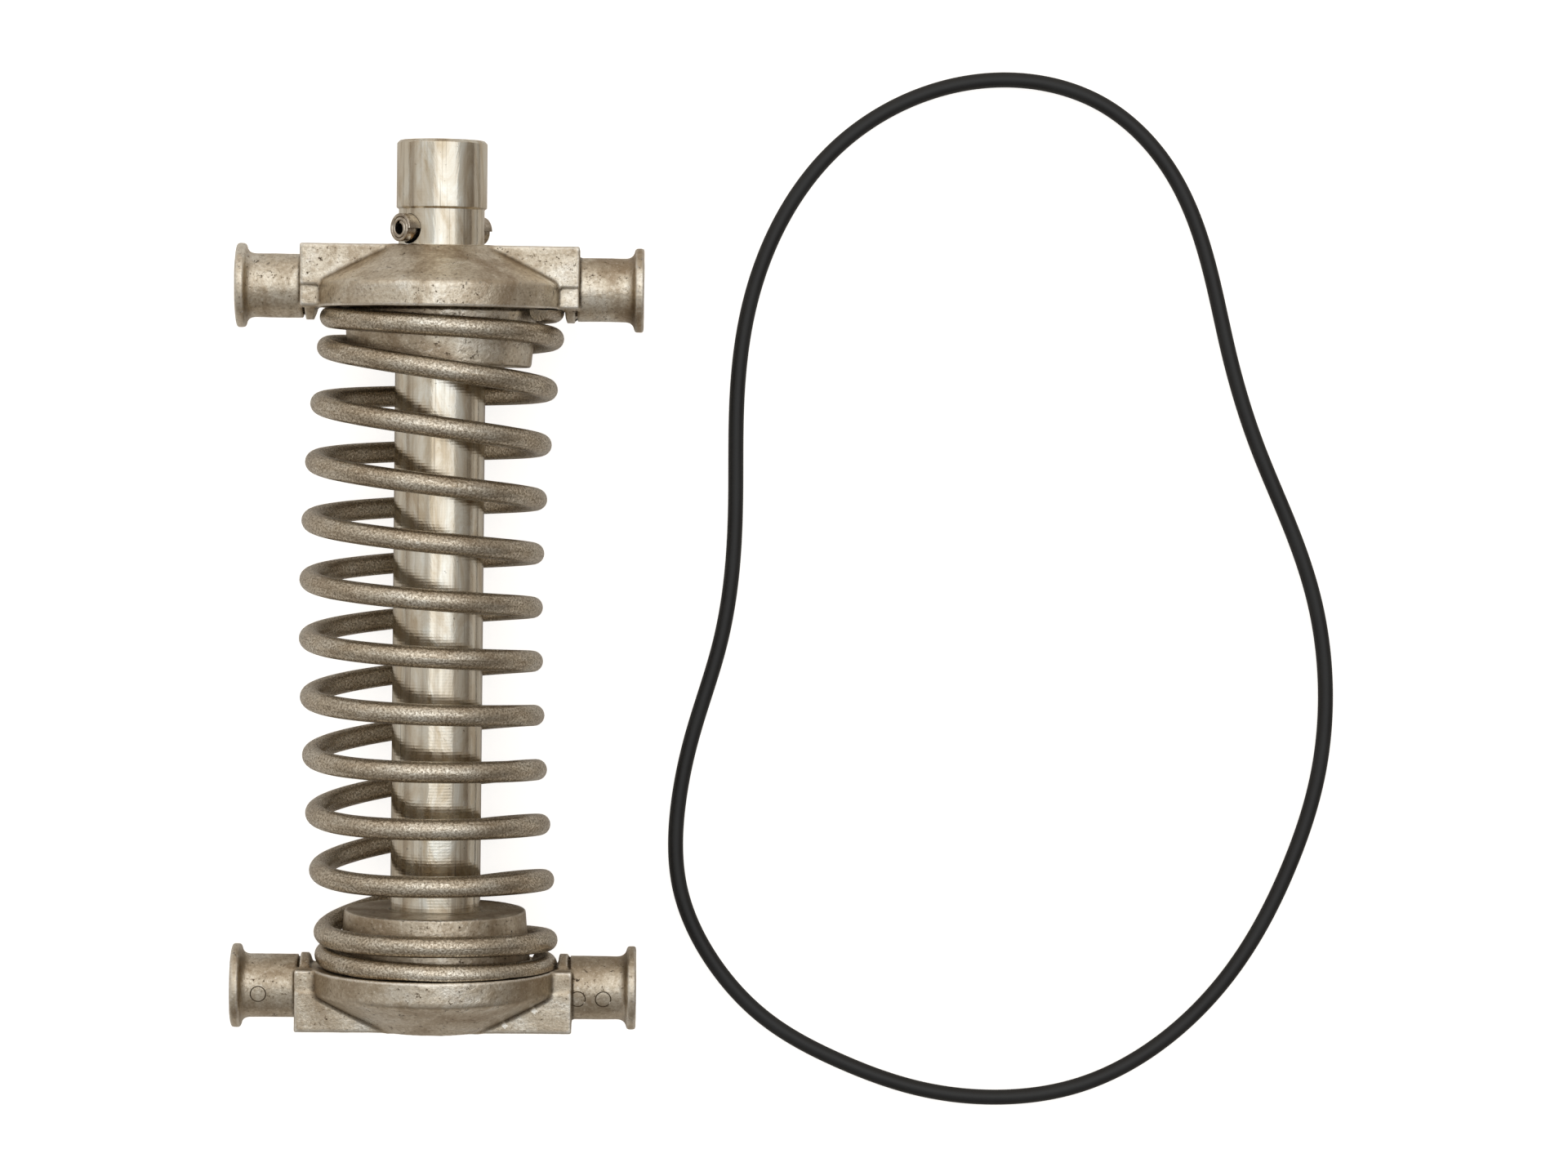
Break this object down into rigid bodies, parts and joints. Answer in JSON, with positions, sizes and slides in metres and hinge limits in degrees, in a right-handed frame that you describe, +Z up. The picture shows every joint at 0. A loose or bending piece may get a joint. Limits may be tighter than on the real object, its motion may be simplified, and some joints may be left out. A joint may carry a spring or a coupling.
{
  "type": "check valve spring module",
  "caption": "Guided compression spring between two trunnion yokes on a pinned rod, with its large seal ring lying beside it.",
  "frame": {"origin": "on the surface the kit lies on, under the middle of its box", "axes": "+Z up, +Y along the spring module towards the pinned end of the rod, +X from the module to the seal ring"},
  "size_m": [0.3754, 0.3564, 0.083],
  "materials": {
    "casting": "satin as-cast",
    "ground_rod": "ground and worn",
    "spring_wire": "shot-peened satin",
    "pin_steel": "dark satin",
    "bush": "satin bronze",
    "fastener": "satin",
    "rubber": "slight sheen"
  },
  "bodies": {
    "strut": {"fixed_yoke": "casting", "guide_rod": "ground_rod", "retaining_pin": "pin_steel", "rod_anchor_screw": "fastener", "anchor_lock_washer": "fastener", "compression_spring": "spring_wire"},
    "guide_bushes": {"outer_guide_bush": "bush", "inner_guide_bush": "bush"},
    "sliding_yoke": {"sliding_yoke": "casting"},
    "seal_ring": {"seal_ring": "rubber"}
  },
  "joints": [
    {"name": "spring_travel", "type": "slide", "parent": "strut", "child": "guide_bushes", "axis": [0, -1, 0], "range_m": [0, 0.1], "stiffness_N_per_m": 5000, "springref_m": -0.02, "deforming": ["compression_spring"]},
    {"name": "yoke_swivel", "type": "hinge", "parent": "guide_bushes", "child": "sliding_yoke", "pos_m": [-0.12015, 0.1147, 0.0415], "axis": [0, 1, 0], "continuous": true},
    {"name": "ring_lift", "type": "slide", "parent": "strut", "child": "seal_ring", "axis": [0, 0, 1], "range_m": [0, 0.12]}
  ]
}
